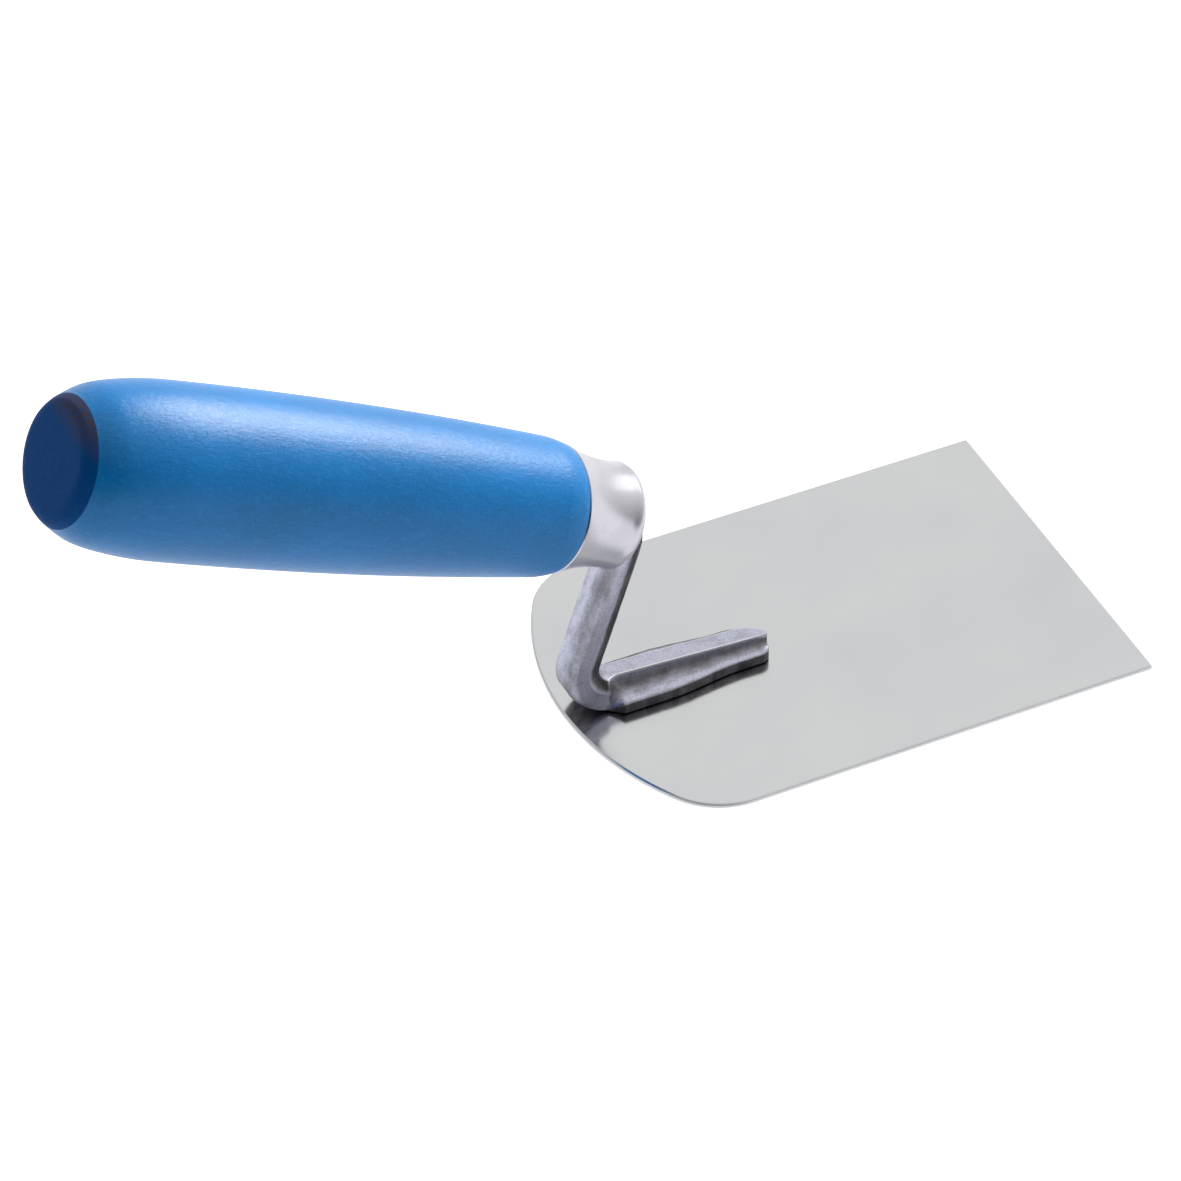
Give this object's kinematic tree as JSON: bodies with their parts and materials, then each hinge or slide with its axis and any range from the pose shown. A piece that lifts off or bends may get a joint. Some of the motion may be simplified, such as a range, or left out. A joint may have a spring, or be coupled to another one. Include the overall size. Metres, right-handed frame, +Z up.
{
  "type": "plasterer's trowel",
  "caption": "Small flat plasterer's trowel: steel blade with an arched heel, a cranked forged shank on a ribbed foot, a steel ferrule and a round turned wooden handle, painted blue.",
  "frame": {"origin": "on the blade's underside, at the middle of the blade's length and width", "axes": "+X along the blade towards its square toe, +Z up out of the face that carries the foot and handle, +Y to the left of someone who holds the handle and looks towards the toe"},
  "size_m": [0.2365, 0.0854, 0.1225],
  "materials": {
    "blade_steel": "polished stainless sheet, near-mirror and softly blurred",
    "forged_steel": "drop-forged carbon steel, mottled scale, only the ridge and cap ground bright",
    "ferrule_steel": "pressed steel, polished",
    "painted_wood": "turned hardwood under satin sky-blue paint",
    "weld_steel": "fused, unground"
  },
  "bodies": {
    "root": {"blade": "blade_steel", "shank": "forged_steel", "ferrule": "ferrule_steel", "handle": "painted_wood", "weld_nugget_1": "weld_steel", "weld_nugget_2": "weld_steel", "weld_nugget_3": "weld_steel"}
  },
  "joints": []
}
